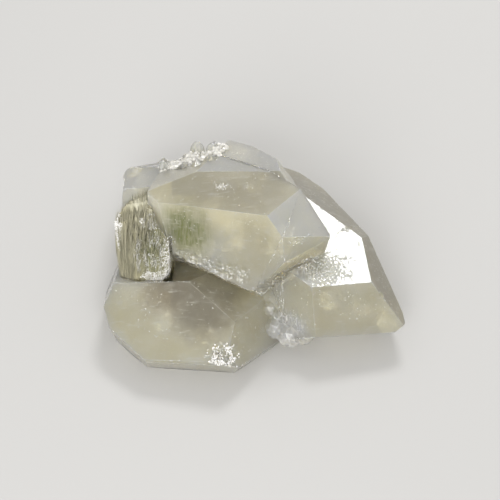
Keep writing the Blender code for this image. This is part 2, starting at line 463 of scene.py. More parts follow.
@dataclass(frozen=True)
class QuartzFinish(Finish):
    """Milky, part-clear quartz, tinted by soft clouds and dull in one patch, with painted light
    and shade by facet and a painted highlight along the ridges.
    """

    name: str = "milky_quartz"
    clear_tone: Colour = (0.78, 0.725, 0.505)
    cloudy_tone: Colour = (0.935, 0.895, 0.71)
    # Pale tone for milky wisps, threads and frost, and for painted highlights along the ridges and
    # on lit facets.
    pale_and_highlight_tone: Colour = (0.99, 0.96, 0.84)
    # Darker brown tone for the painted shade on facets, and also the brown stain of the darkest
    # back facets.
    facet_shade_and_stain_tone: Colour = (0.50, 0.455, 0.325)
    haze_stretch: Point = (1.0, 1.3, 1.1)
    spot_stretch: Point = (2.4, 0.45, 0.45)
    spot_streaks: tuple[float, float] = (0.32, 0.66)
    thread_stretch: Point = (0.22, 1.5, 1.5)
    thread_span: tuple[float, float] = (0.56, 0.78)
    wisps: float = 0.34
    threads: float = 0.7
    frost: float = 0.6
    # Range and scale of the noise that breaks up the painted highlight along the ridges.
    ridge_highlight_breakup: tuple[float, float, float, float] = (0.35, 0.65, 0.15, 0.95)
    ridge_highlight_scale: float = 0.22
    roughness: tuple[float, float] = (0.29, 0.37)
    dull_patch: Patch = Patch((12.8, -7.6, 16.0), (8.0, 6.0, 3.4))
    dull_roughness: float = 0.50
    dull_coat: float = 0.03
    dull_share: float = 0.62
    dull_cells: float = 1.9
    dull_span: tuple[float, float] = (0.74, 0.86)
    coat: float = 0.8
    coat_roughness: float = 0.10
    transmission: float = 0.68
    milk_depth_metres: float = 0.008
    milk_tone: Colour = (1.0, 0.97, 0.85)
    absorption_tone: Colour = (0.87, 0.83, 0.60)
    absorption: float = 14.0
    bump: float = 0.10
    bump_depth: float = 0.2
    pits: float = 0.5
    grain_pitch: float = 1.3
    spots: tuple[Spot, ...] = QUARTZ_SPOTS

    def look(self, tree: FinishTree) -> dict[str, object]:
        """Lay out the shader's inputs.

        Args:
            tree: The material's tree.

        Returns:
            A socket or a value for each input.
        """
        haze = tree.use(tree.shared.haze, Position=tree.place, Stretch=self.haze_stretch)
        grain = tree.use(tree.shared.grain, Position=tree.place, Pitch=self.grain_pitch)
        relief = tree.math("SUBTRACT", grain["Height"],
                           tree.math("MULTIPLY", grain["Pits"], self.pits))
        matt = tree.math("MULTIPLY", tree.mask(self.dull_patch), self.dull_share)
        matt = tree.math("ADD", matt, tree.cells(tree.place, self.dull_cells))
        matt = tree.span(matt, *self.dull_span)
        gloss = tree.span(haze["Haze"], 0.0, 1.0, *self.roughness)
        rough = tree.add("ShaderNodeMix", {"Factor": matt, 2: gloss, 3: self.dull_roughness},
                         data_type="FLOAT")
        return {"Base Color": self._colour(tree, haze), "Roughness": rough.outputs[0],
                "IOR": QUARTZ_IOR, "Transmission Weight": self.transmission,
                "Coat Weight": tree.span(matt, 0.0, 1.0, self.coat, self.dull_coat),
                "Coat Roughness": self.coat_roughness, "Subsurface Weight": 1.0,
                "Subsurface Radius": self.milk_tone,
                "Subsurface Scale": self.milk_depth_metres,
                "Normal": tree.bump(relief, self.bump, self.bump_depth)}

    def _colour(self, tree: FinishTree, haze: bpy.types.NodeOutputs) -> Socket:
        """Lay the tints over each other.

        Args:
            tree: The material's tree.
            haze: The cloudy bands and wisps.

        Returns:
            The colour.
        """
        colour = tree.mix(haze["Haze"], self.clear_tone, self.cloudy_tone)
        for spot in self.spots:
            mask = tree.mask(spot)
            if spot.streak:
                upright = tree.vector("MULTIPLY", tree.place, self.spot_stretch)
                hairs = tree.span(tree.noise(upright, 1.0), *self.spot_streaks,
                                  start=1.0 - spot.streak)
                mask = tree.math("MULTIPLY", mask, hairs)
            colour = tree.mix(tree.math("MULTIPLY", mask, spot.strength), colour, spot.colour)
        # A negative facet tone paints shade on that facet; on the darkest back facets it is also a
        # brown stain.
        facet = tree.own("facet")
        colour = tree.mix(tree.span(facet, 0.0, -1.0), colour, self.facet_shade_and_stain_tone)
        threads = tree.noise(tree.vector("MULTIPLY", tree.place, self.thread_stretch), 1.0)
        threads = tree.span(threads, *self.thread_span)
        # worn: a painted highlight along the ridges, broken up by noise, together with the real
        # frosting of the reliefs.
        broken = tree.span(tree.noise(tree.place, self.ridge_highlight_scale, 2.0), *self.ridge_highlight_breakup)
        worn = tree.math("MAXIMUM", tree.math("MULTIPLY", tree.own("edge"), broken),
                         tree.math("MULTIPLY", tree.own("frost"), self.frost))
        # Pale layers: painted light on facets with a positive tone, milky wisps, threads, then
        # frosting and the painted ridge highlight.
        for share in (tree.span(facet, 0.0, 1.0),
                      tree.math("MULTIPLY", haze["Wisps"], self.wisps),
                      tree.math("MULTIPLY", threads, self.threads),
                      worn):
            colour = tree.mix(share, colour, self.pale_and_highlight_tone)
        return colour

    def inside(self, tree: FinishTree) -> dict[str, object]:
        """The faint warm colour of the body."""
        body = {"Color": opaque(self.absorption_tone), "Density": self.absorption}
        return {"Volume": tree.add("ShaderNodeVolumeAbsorption", body).outputs["Volume"]}


@dataclass(frozen=True)
class FibreFinish(Finish):
    """Silky amphibole fibres whose tone differs from hair to hair."""

    name: str = "byssolite_fibres"
    dark: Colour = (0.36, 0.335, 0.215)
    light: Colour = (0.50, 0.475, 0.35)
    own_tone: float = 0.65
    cloud_scale: float = 0.6
    roughness: float = 0.42
    sheen: float = 0.15

    def look(self, tree: FinishTree) -> dict[str, object]:
        """Lay out the shader's inputs.

        Args:
            tree: The material's tree.

        Returns:
            A socket or a value for each input.
        """
        tone = tree.math("MULTIPLY", tree.own("tone"), self.own_tone)
        cloud = tree.noise(tree.place, self.cloud_scale)
        cloud = tree.math("MULTIPLY", cloud, 1.0 - self.own_tone)
        colour = tree.mix(tree.math("ADD", tone, cloud), self.dark, self.light)
        return {"Base Color": colour, "Roughness": self.roughness, "Sheen Weight": self.sheen}


@dataclass(frozen=True)
class FeltFinish(Finish):
    """The dense bed under the fibres: dark olive in its middle, khaki and pale around."""

    name: str = "byssolite_felt"
    dark: Colour = (0.085, 0.09, 0.032)
    middle: Colour = (0.25, 0.25, 0.13)
    brown: Colour = (0.35, 0.32, 0.20)
    khaki: Colour = (0.41, 0.385, 0.265)
    pale: Colour = (0.56, 0.54, 0.42)
    olive_patch: Patch = Patch((-19.8, -2.5, 15.5), (5.4, 9.0, 8.0))
    pale_patches: tuple[Patch, ...] = (Patch((-21.5, 6.5, 20.0), (8.0, 6.5, 5.5)),
                                       Patch((-15.5, 6.5, 23.5), (11.0, 6.0, 5.0)))
    streak_stretch: Point = (1.6, 0.16, 0.22)
    streak_span: tuple[float, float] = (0.36, 0.68)
    roughness: float = 0.7
    glaze: float = 0.9
    glaze_roughness: float = 0.12
    bump: float = 0.6
    bump_depth: float = 0.3
    grain_pitch: float = 0.8
    grain_share: float = 1.6

    def look(self, tree: FinishTree) -> dict[str, object]:
        """Lay out the shader's inputs.

        Args:
            tree: The material's tree.

        Returns:
            A socket or a value for each input.
        """
        damp = tree.mask(self.olive_patch)
        streaked = tree.vector("MULTIPLY", tree.place, self.streak_stretch)
        streaks = tree.span(tree.noise(streaked, 1.0, 2.0), *self.streak_span)
        khaki = tree.mix(streaks, self.brown, self.khaki)
        colour = tree.mix(damp, khaki, tree.mix(tree.mottle(), self.dark, self.middle))
        for patch in self.pale_patches:
            colour = tree.mix(tree.mask(patch), colour, self.pale)
        grain = tree.use(tree.shared.grain, Position=tree.place, Pitch=self.grain_pitch)
        grain = tree.math("MULTIPLY", grain["Height"], self.grain_share)
        relief = tree.math("ADD", streaks, grain)
        return {"Base Color": colour, "Roughness": self.roughness,
                "Coat Weight": tree.math("MULTIPLY", damp, self.glaze),
                "Coat Roughness": self.glaze_roughness,
                "Normal": tree.bump(relief, self.bump, self.bump_depth)}


@dataclass(frozen=True)
class GrainFinish(Finish):
    """Tiny quartz grains, small white crystals and clear buds."""

    # The sparkle grains' opaque white also serves as painted glints.
    name: str = "grains_and_painted_glints"
    colour: Colour = (0.95, 0.94, 0.905)
    shade: Colour = (0.78, 0.765, 0.71)
    roughness: float = 0.12
    transmission: float = 0.0
    milk: float = 0.5
    milk_depth_metres: float = 0.0004
    milk_tone: Colour = (1.0, 1.0, 0.9)

    def look(self, tree: FinishTree) -> dict[str, object]:
        """Lay out the shader's inputs.

        Args:
            tree: The material's tree.

        Returns:
            A socket or a value for each input.
        """
        return {"Base Color": tree.mix(tree.mottle(), self.shade, self.colour),
                "Roughness": self.roughness, "IOR": QUARTZ_IOR,
                "Transmission Weight": self.transmission, "Subsurface Weight": self.milk,
                "Subsurface Radius": self.milk_tone,
                "Subsurface Scale": self.milk_depth_metres}


WHITE_DRUSE = GrainFinish("white_druse", (0.84, 0.825, 0.78), (0.60, 0.585, 0.525), 0.2)
CLEAR_BUD = GrainFinish("clear_bud", (0.95, 0.955, 0.93), (0.88, 0.885, 0.84), 0.1, 0.7)


@dataclass(frozen=True)
class VeilFinish(Finish):
    """A healed crack inside the crystal: white wisps with clear gaps."""

    name: str = "healed_crack"
    colour: Colour = (0.95, 0.945, 0.91)
    shade: Colour = (0.80, 0.79, 0.70)
    stretch: Point = (3.0, 3.0, 3.0)
    gaps: tuple[float, float] = (0.42, 0.72)
    most: float = 0.6
    roughness: float = 0.45

    def look(self, tree: FinishTree) -> dict[str, object]:
        """Lay out the shader's inputs.

        Args:
            tree: The material's tree.

        Returns:
            A socket or a value for each input.
        """
        haze = tree.use(tree.shared.haze, Position=tree.place, Stretch=self.stretch)
        wisps = tree.noise(tree.place, scale=0.5, detail=4.0, roughness=0.65)
        return {"Base Color": tree.mix(haze["Haze"], self.colour, self.shade),
                "Alpha": tree.span(wisps, *self.gaps, end=self.most),
                "Roughness": self.roughness}


@dataclass(frozen=True)
class FloorFinish(Finish):
    """A plain pale matt floor."""

    name: str = "pale_floor"
    colour: Colour = (0.47, 0.466, 0.458)
    roughness: float = 0.85

    def look(self, tree: FinishTree) -> dict[str, object]:
        """One plain colour."""
        return {"Base Color": opaque(self.colour), "Roughness": self.roughness}


# ---------------------------------------------------------------- mesh helpers


def mm(point: Point) -> Vector:
    """A place given in millimetres, in metres."""
    return Vector(point) * MM


def in_scene(name: str, data: bpy.types.ID) -> Object:
    """Put data in the scene as an object.

    Args:
        name: The object's name.
        data: Its mesh, camera or light.

    Returns:
        The object.
    """
    obj = bpy.data.objects.new(name, data)
    bpy.context.scene.collection.objects.link(obj)
    return obj


def object_from(name: str, bm: BMesh) -> Object:
    """Turn a bmesh into an object in the scene and free it.

    Args:
        name: The object's name.
        bm: The bmesh.

    Returns:
        The object.
    """
    mesh = bpy.data.meshes.new(name)
    bm.to_mesh(mesh)
    bm.free()
    return in_scene(name, mesh)


def evaluated_copy(obj: Object) -> bpy.types.Mesh:
    """The object's mesh with its modifiers applied."""
    graph = bpy.context.evaluated_depsgraph_get()
    return bpy.data.meshes.new_from_object(obj.evaluated_get(graph))


def shade_smooth(bm: BMesh) -> None:
    """Shade every face smooth."""
    for face in bm.faces:
        face.smooth = True


def soften(bm: BMesh, points: list[bmesh.types.BMVert], rounds: int) -> None:
    """Even out some points' positions in rounds.

    Args:
        bm: The mesh.
        points: The points that may move.
        rounds: How often.
    """
    for _ in range(rounds):
        bmesh.ops.smooth_vert(bm, verts=points, factor=0.5, use_axis_x=True, use_axis_y=True,
                              use_axis_z=True)


def cut_off(bm: BMesh, place: Point, side: Point) -> None:
    """Cut a body along a plane and close it again.

    Args:
        bm: The body.
        place: A place on the plane, in millimetres.
        side: The way the lost part lies.
    """
    cut = bmesh.ops.bisect_plane(bm, geom=[*bm.verts, *bm.edges, *bm.faces],
                                 plane_co=mm(place), plane_no=Vector(side), clear_outer=True)
    rim = [item for item in cut["geom_cut"] if isinstance(item, bmesh.types.BMEdge)]
    bmesh.ops.holes_fill(bm, edges=rim, sides=0)


def union(bm: BMesh, other: BMesh) -> BMesh:
    """Join two closed bodies into one.

    Args:
        bm: The first body; it is freed.
        other: The second body; it is freed.

    Returns:
        Their union.
    """
    first = object_from("union_first", bm)
    second = object_from("union_second", other)
    modifier = first.modifiers.new("join", "BOOLEAN")
    modifier.operation = "UNION"
    modifier.solver = "EXACT"
    modifier.object = second
    mesh = evaluated_copy(first)
    whole = bmesh.new()
    whole.from_mesh(mesh)
    for spare in (first, second):
        bpy.data.objects.remove(spare, do_unlink=True)
    bpy.data.meshes.remove(mesh)
    return whole


def node_mesh(frame: dict, node: str) -> BMesh:
    """A welded copy of a CAD node's mesh.

    Args:
        frame: The loaded frame.
        node: The node's name.

    Returns:
        The copy.
    """
    bm = bmesh.new()
    bm.from_mesh(frame["nodes"][node].data)
    bmesh.ops.remove_doubles(bm, verts=bm.verts, dist=WELD * MM)
    return bm


@dataclass(frozen=True)
class Zone:
    """A soft-edged ellipsoid that limits a relief or a crust."""

    centre: Point
    radii: Point
    softness: float = 0.35

    def share(self, point: Vector) -> float:
        """How much a place is inside the zone.

        Args:
            point: The place, in metres.

        Returns:
            1 well inside, 0 outside.
        """
        across = (point.x / MM - self.centre[0]) / self.radii[0]
        along = (point.y / MM - self.centre[1]) / self.radii[1]
        above = (point.z / MM - self.centre[2]) / self.radii[2]
        reach = across * across + along * along + above * above
        if reach >= 1.0:
            return 0.0
        return min(1.0, (1.0 - math.sqrt(reach)) / self.softness)


@dataclass(frozen=True)
class Band(Zone):
    """A soft-edged sausage from its centre to its end, as thick as its first radius."""

    end: Point = (0.0, 0.0, 0.0)

    def share(self, point: Vector) -> float:
        """How much a place is inside the band.

        Args:
            point: The place, in metres.

        Returns:
            1 well inside, 0 outside.
        """
        nearest, along = intersect_point_line(point, mm(self.centre), mm(self.end))
        nearest = mm(self.centre).lerp(mm(self.end), min(1.0, max(0.0, along)))
        reach = (point - nearest).length / (self.radii[0] * MM)
        return min(1.0, max(0.0, (1.0 - reach) / self.softness))


def split_long(bm: BMesh, edges: list[bmesh.types.BMEdge]) -> None:
    """Halve edges and make the faces triangles again.

    Args:
        bm: The mesh.
        edges: The edges to halve.
    """
    bmesh.ops.subdivide_edges(bm, edges=edges, cuts=1, use_single_edge=True, use_grid_fill=False)
    bmesh.ops.triangulate(bm, faces=[face for face in bm.faces if len(face.verts) > 3])


def refine(bm: BMesh, longest: float, fine: float = 0.0,
           zones: tuple[Zone, ...] = ()) -> None:
    """Halve edges until they are short enough.

    Args:
        bm: The mesh.
        longest: The longest edge left anywhere, in millimetres.
        fine: The longest edge left in the zones, in millimetres.
        zones: Where the mesh has to be finer.
    """
    for _ in range(PASSES):
        edges = [edge for edge in bm.edges if edge.calc_length() > longest * MM]
        if edges:
            split_long(bm, edges)
    for _ in range(FINE_PASSES if zones else 0):
        near = {vertex for vertex in bm.verts
                if any(zone.share(vertex.co) > 0.0 for zone in zones)}
        edges = [edge for edge in bm.edges if edge.calc_length() > fine * MM
                 and (edge.seam or (edge.verts[0] in near and edge.verts[1] in near))]
        if edges:
            split_long(bm, edges)


class ReliefKind(Enum):
    """How a stretch of crystal is broken or grown."""

    HACKLE = "hackle"
    PITS = "pits"
    LINES = "lines"


@dataclass(frozen=True)
class Relief:
    """Fine relief cut into the surface of one zone."""

    name: str
    kind: ReliefKind
    zone: Zone
    height: float
    pitch: float
    frost: float = 0.5
    along: Point = (1.0, 0.0, 0.0)
    wobble: float = 0.35
    wobble_pitch: float = 0.6
    shuffle: float = 5.3
    bare_below: float = -0.05
    pit_width: tuple[float, float] = (0.35, 0.3)
    chip_level: tuple[float, float] = (0.45, 0.8)
    chip_tilt: float = 2.4

    def depth(self, place: Vector) -> float:
        """Depth of the relief.

        Args:
            place: Where, in millimetres.

        Returns:
            Depth as a share of its height, 0 to 1.
        """
        scaled = place / self.pitch
        if self.kind is ReliefKind.LINES:
            wobble = self.wobble * noise.noise(place * self.wobble_pitch)
            across = scaled.dot(Vector(self.along)) + wobble
            return 1.0 - abs(2.0 * (across - math.floor(across)) - 1.0)
        distances, points = noise.voronoi(scaled)
        chance = noise.noise_vector(points[0] * self.shuffle)
        if self.kind is ReliefKind.PITS:
            if chance.x < self.bare_below:
                return 0.0
            least, more = self.pit_width
            return max(0.0, 1.0 - distances[0] / (least + more * abs(chance.y)))
        level, step = self.chip_level
        tilt = (scaled - points[0]).dot(chance * self.chip_tilt)
        return min(1.0, max(0.0, level + step * chance.z + tilt))


# ---------------------------------------------------------------- quartz


@dataclass
class QuartzCluster:
    """The intergrown crystals: bevelled edges, growth relief and frosting on the CAD form."""

    frame: dict
    node: str = "quartz_cluster"
    mat_node: str = "byssolite_mat"
    pocket_start: float = -16.45
    pocket_heights: tuple[float, float] = (5.0, 22.6)
    pocket_fill: float = 0.5
    front_facet: Point = (-0.27, -0.83, 0.48)
    front_facet_point: Point = (-12.0, -1.2, 20.1)
    shortest_ridge: float = 1.4
    chip_depth: float = 0.22
    chip_length: float = 1.1
    chip_from: float = 0.1
    relief_seed: int = 7
    frost_base: float = 0.4
    foot: float = 0.01
    weld: float = 0.004
    flat_angle: float = 0.7
    same_facet: float = 0.03
    same_plane: float = 0.4
    stray_tone: float = 0.12
    tone_walk: Point = (1.7, 3.1, 0.4)
    # Chosen tones that paint light and shade facet by facet.
    facet_light_and_shade: tuple[tuple[Point, float], ...] = field(default_factory=lambda: FACET_LIGHT_AND_SHADE)
    soft_zones: tuple[tuple[Zone, int], ...] = field(default_factory=lambda: SOFT_ZONES)
    sharp_angle: float = 9.0
    cell: float = 1.1
    fine_cell: float = 0.42
    waviness: float = 0.05
    wave_length: float = 3.4
    edge_fade: float = 0.08
    edge_wear: float = 0.10
    rim: float = 0.20
    rim_from: float = 3.0
    reliefs: tuple[Relief, ...] = field(default_factory=lambda: QUARTZ_RELIEFS)

    def build(self, material: Material) -> Object:
        """Build and dress the quartz.

        Args:
            material: Its finish.

        Returns:
            The piece.
        """
        bm = self._filled_form()
        self._tone_facets(bm)
        self._frame_facets(bm)
        self._mark_ridges(bm)
        refine(bm, self.cell, self.fine_cell, tuple(relief.zone for relief in self.reliefs))
        ridge = self._glow_near_ridges(bm)
        self._displace(bm, ridge)
        self._soften(bm)
        shade_smooth(bm)
        obj = object_from("quartz_crystals", bm)
        obj.data.materials.append(material)
        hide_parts(self.node)
        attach(obj, "root")
        return obj

    def _filled_form(self) -> BMesh:
        """The CAD form with the pocket around the inner fibres filled with crystal.

        Returns:
            The closed form.
        """
        bm = node_mesh(self.frame, self.node)
        mat = node_mesh(self.frame, self.mat_node)
        low, high = self.pocket_heights
        outside = [vertex for vertex in mat.verts if vertex.co.x < self.pocket_start * MM
                   or not low * MM < vertex.co.z < high * MM]
        bmesh.ops.delete(mat, geom=outside, context="VERTS")
        hull = bmesh.ops.convex_hull(mat, input=mat.verts)
        spare = [item for item in hull["geom_interior"] if isinstance(item, bmesh.types.BMVert)]
        bmesh.ops.delete(mat, geom=spare, context="VERTS")
        middle = sum((vertex.co for vertex in mat.verts), Vector()) / len(mat.verts)
        for vertex in mat.verts:
            vertex.co += (vertex.co - middle).normalized() * self.pocket_fill * MM
        cut_off(mat, self.front_facet_point, self.front_facet)
        bmesh.ops.recalc_face_normals(mat, faces=mat.faces)
        whole = union(bm, mat)
        bmesh.ops.remove_doubles(whole, verts=whole.verts, dist=self.weld * MM)
        bmesh.ops.dissolve_limit(whole, angle_limit=math.radians(self.flat_angle),
                                 verts=whole.verts, edges=whole.edges)
        return whole

    def _tone_facets(self, bm: BMesh) -> None:
        """Give each facet its own tone: the named ones a chosen tone that paints light and shade
        on them, the rest a slight random one.

        Args:
            bm: The form, a face for each facet.
        """
        layer = bm.faces.layers.float.new("facet")
        tree = BVHTree.FromBMesh(bm)
        bm.faces.ensure_lookup_table()
        step, *aside = self.tone_walk
        for index, face in enumerate(bm.faces):
            face[layer] = self.stray_tone * noise.noise(Vector((index * step, *aside)))
        for place, tone in self.facet_light_and_shade:
            face = bm.faces[tree.find_nearest(mm(place))[2]]
            middle = face.calc_center_median()
            for other in bm.faces:
                gap = abs((other.calc_center_median() - middle).dot(face.normal))
                turned = other.normal.angle(face.normal, math.pi)
                if turned < self.same_facet and gap < self.same_plane * MM:
                    other[layer] = tone

    def _frame_facets(self, bm: BMesh) -> None:
        """Lay a narrow rim around every large facet, so that its ridges can be pressed in and
        chipped.

        Args:
            bm: The form.
        """
        large = [face for face in bm.faces if face.calc_area() > self.rim_from * MM * MM]
        bmesh.ops.inset_individual(bm, faces=large, thickness=self.rim * MM,
                                   use_even_offset=False)

    def _mark_ridges(self, bm: BMesh) -> None:
        """Keep the facets' edges crisp, and note the long outer ones as seams.

        Args:
            bm: The form with its rims.
        """
        bmesh.ops.triangulate(bm, faces=bm.faces)
        limit = math.radians(self.sharp_angle)
        for edge in bm.edges:
            angle = edge.calc_face_angle(0.0)
            edge.smooth = angle < limit
            long = edge.calc_length() > self.shortest_ridge * MM
            edge.seam = angle > limit and edge.is_convex and long

    def _glow_near_ridges(self, bm: BMesh) -> set[bmesh.types.BMVert]:
        """Write how near each point is to a ridge into the "edge" attribute, which the finish
        paints as a highlight along the ridges.

        Args:
            bm: The refined mesh.

        Returns:
            The points on the ridges.
        """
        layer = bm.verts.layers.float.new("edge")
        ridge = {vertex for edge in bm.edges if edge.seam for vertex in edge.verts}
        tree = KDTree(len(ridge))
        for index, vertex in enumerate(ridge):
            tree.insert(vertex.co, index)
        tree.balance()
        for vertex in bm.verts:
            vertex[layer] = math.exp(-(tree.find(vertex.co)[2] / MM / self.edge_fade) ** 2)
        return ridge

    def _displace(self, bm: BMesh, ridge: set[bmesh.types.BMVert]) -> None:
        """Press the reliefs in, chip the ridges and note how frosted each point is.

        Args:
            bm: The refined mesh.
            ridge: The points on the ridges.
        """
        layer = bm.verts.layers.float.new("frost")
        noise.seed_set(self.relief_seed)
        bm.normal_update()
        moves = []
        for vertex in bm.verts:
            place = vertex.co / MM
            depth = self.waviness * (0.5 + 0.5 * noise.noise(place / self.wave_length))
            frost = 0.0
            if vertex in ridge:
                chip = max(0.0, noise.noise(place / self.chip_length) - self.chip_from)
                depth += self.edge_wear + self.chip_depth * chip
            for relief in self.reliefs:
                share = relief.zone.share(vertex.co)
                if share > 0.0:
                    cut = share * relief.depth(place)
                    depth += relief.height * cut
                    light = self.frost_base + (1.0 - self.frost_base) * cut
                    frost = max(frost, share * relief.frost * light)
            moves.append(vertex.normal * (-depth * MM))
            vertex[layer] = frost
        for vertex, move in zip(bm.verts, moves):
            if vertex.co.z > self.foot * MM:
                vertex.co += move

    def _soften(self, bm: BMesh) -> None:
        """Round off the rolling, unfaceted growths.

        Args:
            bm: The refined mesh.
        """
        for zone, rounds in self.soft_zones:
            soft = [vertex for vertex in bm.verts
                    if zone.share(vertex.co) > 0.0 and vertex.co.z > self.foot * MM]
            soften(bm, soft, rounds)
            inner = set(soft)
            for edge in bm.edges:
                if edge.verts[0] in inner and edge.verts[1] in inner:
                    edge.smooth = True


# Chosen facet tones, -1 darker to 1 lighter, that paint light and shade facet by facet. The glare
# facet of the right crystal and the main crystal's back facet are lighter, and the facet under the
# main crystal's lip is darker. On the darkest back facets the darker tone is also a brown stain.
FACET_LIGHT_AND_SHADE = (
    ((-5.0, 3.0, 26.5), -0.48),
    ((-5.0, -6.0, 19.5), 0.0),
    ((10.0, -1.0, 25.0), 0.90),
    ((11.0, -6.3, 22.0), 0.15),
    ((0.0, 14.0, 24.0), 1.00),
    ((18.0, -1.0, 16.5), 0.70),
    ((16.0, -14.0, 10.0), -0.25),
    ((26.7, -12.5, 12.0), -0.85),
    ((15.0, 10.0, 16.0), -0.95),
    ((20.3, 4.5, 14.3), -1.00),
    ((-24.6, -13.5, 9.9), 0.05),
    ((-23.0, 13.0, 18.0), 0.80),
    ((-3.0, -12.0, 14.0), -0.40),
    ((-0.4, -17.2, 8.3), -0.15),
)
SOFT_ZONES = (
    (Zone((-25.0, 12.0, 13.0), (6.5, 9.0, 7.5)), 6),
    (Zone((-12.0, 19.5, 18.0), (8.0, 6.0, 5.0)), 5),
)
STRIP = Band((-14.6, -4.9, 16.6), (1.9, 1.9, 1.9), 0.5, (-2.0, -9.2, 16.2))
BUMP = Zone((7.8, -15.6, 7.0), (5.6, 4.6, 4.2))
QUARTZ_RELIEFS = (
    Relief("hackly_strip", ReliefKind.HACKLE, STRIP, 0.42, 0.9, 0.25),
    Relief("lip_pits", ReliefKind.PITS, Zone((10.2, -5.8, 23.6), (6.5, 2.4, 1.3)), 0.28, 0.9, 0.6),
    Relief("lip_lines", ReliefKind.LINES, Zone((8.0, -8.0, 16.8), (6.0, 3.4, 5.5)), 0.14, 0.75,
           0.15, (-0.68, 0.03, 0.59)),
    Relief("bruise", ReliefKind.HACKLE, Zone((-5.2, -23.4, 8.6), (4.2, 2.8, 2.8)), 0.40, 0.75,
           1.0),
    Relief("bump_skin", ReliefKind.HACKLE, BUMP, 0.22, 2.1, 0.9),
    Relief("bump_grooves", ReliefKind.LINES, BUMP, 0.09, 0.8, 0.6, (1.0, 0.15, 0.0)),
    Relief("crown_druse", ReliefKind.HACKLE, Zone((-12.0, 18.0, 18.0), (8.0, 6.5, 5.0)), 0.35,
           0.8, 1.0),
    Relief("back_chips", ReliefKind.PITS, Zone((20.0, 4.6, 14.8), (3.6, 3.4, 2.6)), 0.28, 0.9,
           0.5),
)


# ---------------------------------------------------------------- scattered detail

HALF_TURN = 3.14
# Lower radius, upper radius and height of the prism, then of its point.
CRYSTAL_PARTS = ((1.0, 0.9, 0.6), (0.9, 0.12, 0.4))


class GrowthTree(NodeMaker):
    """A Geometry Nodes tree that scatters one small form over a host surface."""

    INPUTS = {"Density": "Float", "Seed": "Int", "Size": "Float", "Length": "Float",
              "Least": "Float", "Bend": "Float", "Lay": "Vector", "Spread": "Float",
              "Sink": "Float", "Heart": "Vector", "Outward": "Float", "Finish": "Material"}

    def __init__(self, name: str) -> None:
        """Make the tree with its named inputs, in metres.

        Args:
            name: The tree's name.
        """
        tree = bpy.data.node_groups.new(name, "GeometryNodeTree")
        tree.is_modifier = True
        for way in ("INPUT", "OUTPUT"):
            tree.interface.new_socket(name="Geometry", in_out=way,
                                      socket_type="NodeSocketGeometry")
        self.names = {
            label: tree.interface.new_socket(name=label, in_out="INPUT",
                                             socket_type=f"NodeSocket{kind}").identifier
            for label, kind in self.INPUTS.items()}
        super().__init__(tree)
        self.given = self.add("NodeGroupInput").outputs

    def value(self, low: object, high: float | Point, seed: int) -> Socket:
        """A random number or vector for each point.

        Args:
            low: The least value.
            high: The greatest value; a vector here asks for vectors.
            seed: Its own seed.

        Returns:
            The value.
        """
        vectors = isinstance(high, tuple)
        start = 0 if vectors else 2
        node = self.add("FunctionNodeRandomValue", {start: low, start + 1: high, "Seed": seed},
                        data_type="FLOAT_VECTOR" if vectors else "FLOAT")
        return next(output for output in node.outputs if output.enabled)

    def scatter(self, form: Socket) -> None:
        """Put a form on random places of the host, and close the tree.

        Args:
            form: The form's geometry: it grows along its Z, one unit long and one wide.
        """
        given = self.given
        weight = self.add("GeometryNodeInputNamedAttribute", {"Name": "weight"},
                          data_type="FLOAT").outputs[0]
        places = self.add("GeometryNodeDistributePointsOnFaces", {
            "Mesh": given["Geometry"], "Seed": given["Seed"],
            "Density": self.math("MULTIPLY", given["Density"], weight),
        }, distribute_method="RANDOM").outputs
        outward = self.vector("SCALE", places["Normal"], given["Outward"])
        stray = self.value((-1.0, -1.0, -1.0), (1.0, 1.0, 1.0), 3)
        stray = self.vector("SCALE", stray, given["Spread"])
        heading = self.vector("ADD", self.vector("ADD", given["Lay"], outward), stray)
        spin = self.value((0.0, 0.0, -HALF_TURN), (0.0, 0.0, HALF_TURN), 5)
        spin = self.add("FunctionNodeEulerToRotation", {0: spin}).outputs[0]
        aim = self.add("FunctionNodeAlignRotationToVector",
                       {"Rotation": spin, "Vector": heading}, axis="Z").outputs[0]
        inward = self.add("GeometryNodeInputPosition").outputs[0]
        inward = self.vector("SUBTRACT", given["Heart"], inward)
        drop = self.math("MULTIPLY", self.value(0.0, 1.0, 7), given["Sink"])
        moved = self.add("GeometryNodeSetPosition", {
            "Geometry": places["Points"], "Offset": self.vector("SCALE", inward, drop)})
        girth = self.math("MULTIPLY", self.value(given["Least"], 1.0, 11), given["Size"])
        reach = self.math("MULTIPLY", self.value(given["Least"], 1.0, 13), given["Length"])
        scale = self.add("ShaderNodeCombineXYZ", {0: girth, 1: girth, 2: reach}).outputs[0]
        copies = self.add("GeometryNodeInstanceOnPoints", {
            "Points": moved.outputs[0], "Instance": form, "Rotation": aim, "Scale": scale})
        tone = self.add("GeometryNodeStoreNamedAttribute", {
            "Geometry": copies.outputs[0], "Name": "tone"}, data_type="FLOAT", domain="INSTANCE")
        slot = next(item for item in tone.inputs if item.name == "Value" and item.enabled)
        self.feed(slot, self.value(0.0, 1.0, 17))
        whole = self.add("GeometryNodeRealizeInstances", {0: tone.outputs[0]})
        finish = self.add("GeometryNodeSetMaterial", {
            "Geometry": whole.outputs[0], "Material": given["Finish"]})
        self.add("NodeGroupOutput", {0: finish.outputs[0]})

    def scatter_flat(self, form: Socket) -> None:
        """Scatter a form with flat faces."""
        self.scatter(self.add("GeometryNodeSetShadeSmooth", {
            "Geometry": form, "Shade Smooth": False}).outputs[0])


class Form(Enum):
    """The small forms that are scattered."""

    HAIR = "hair"
    GRAIN = "grain"
    CRYSTAL = "crystal"


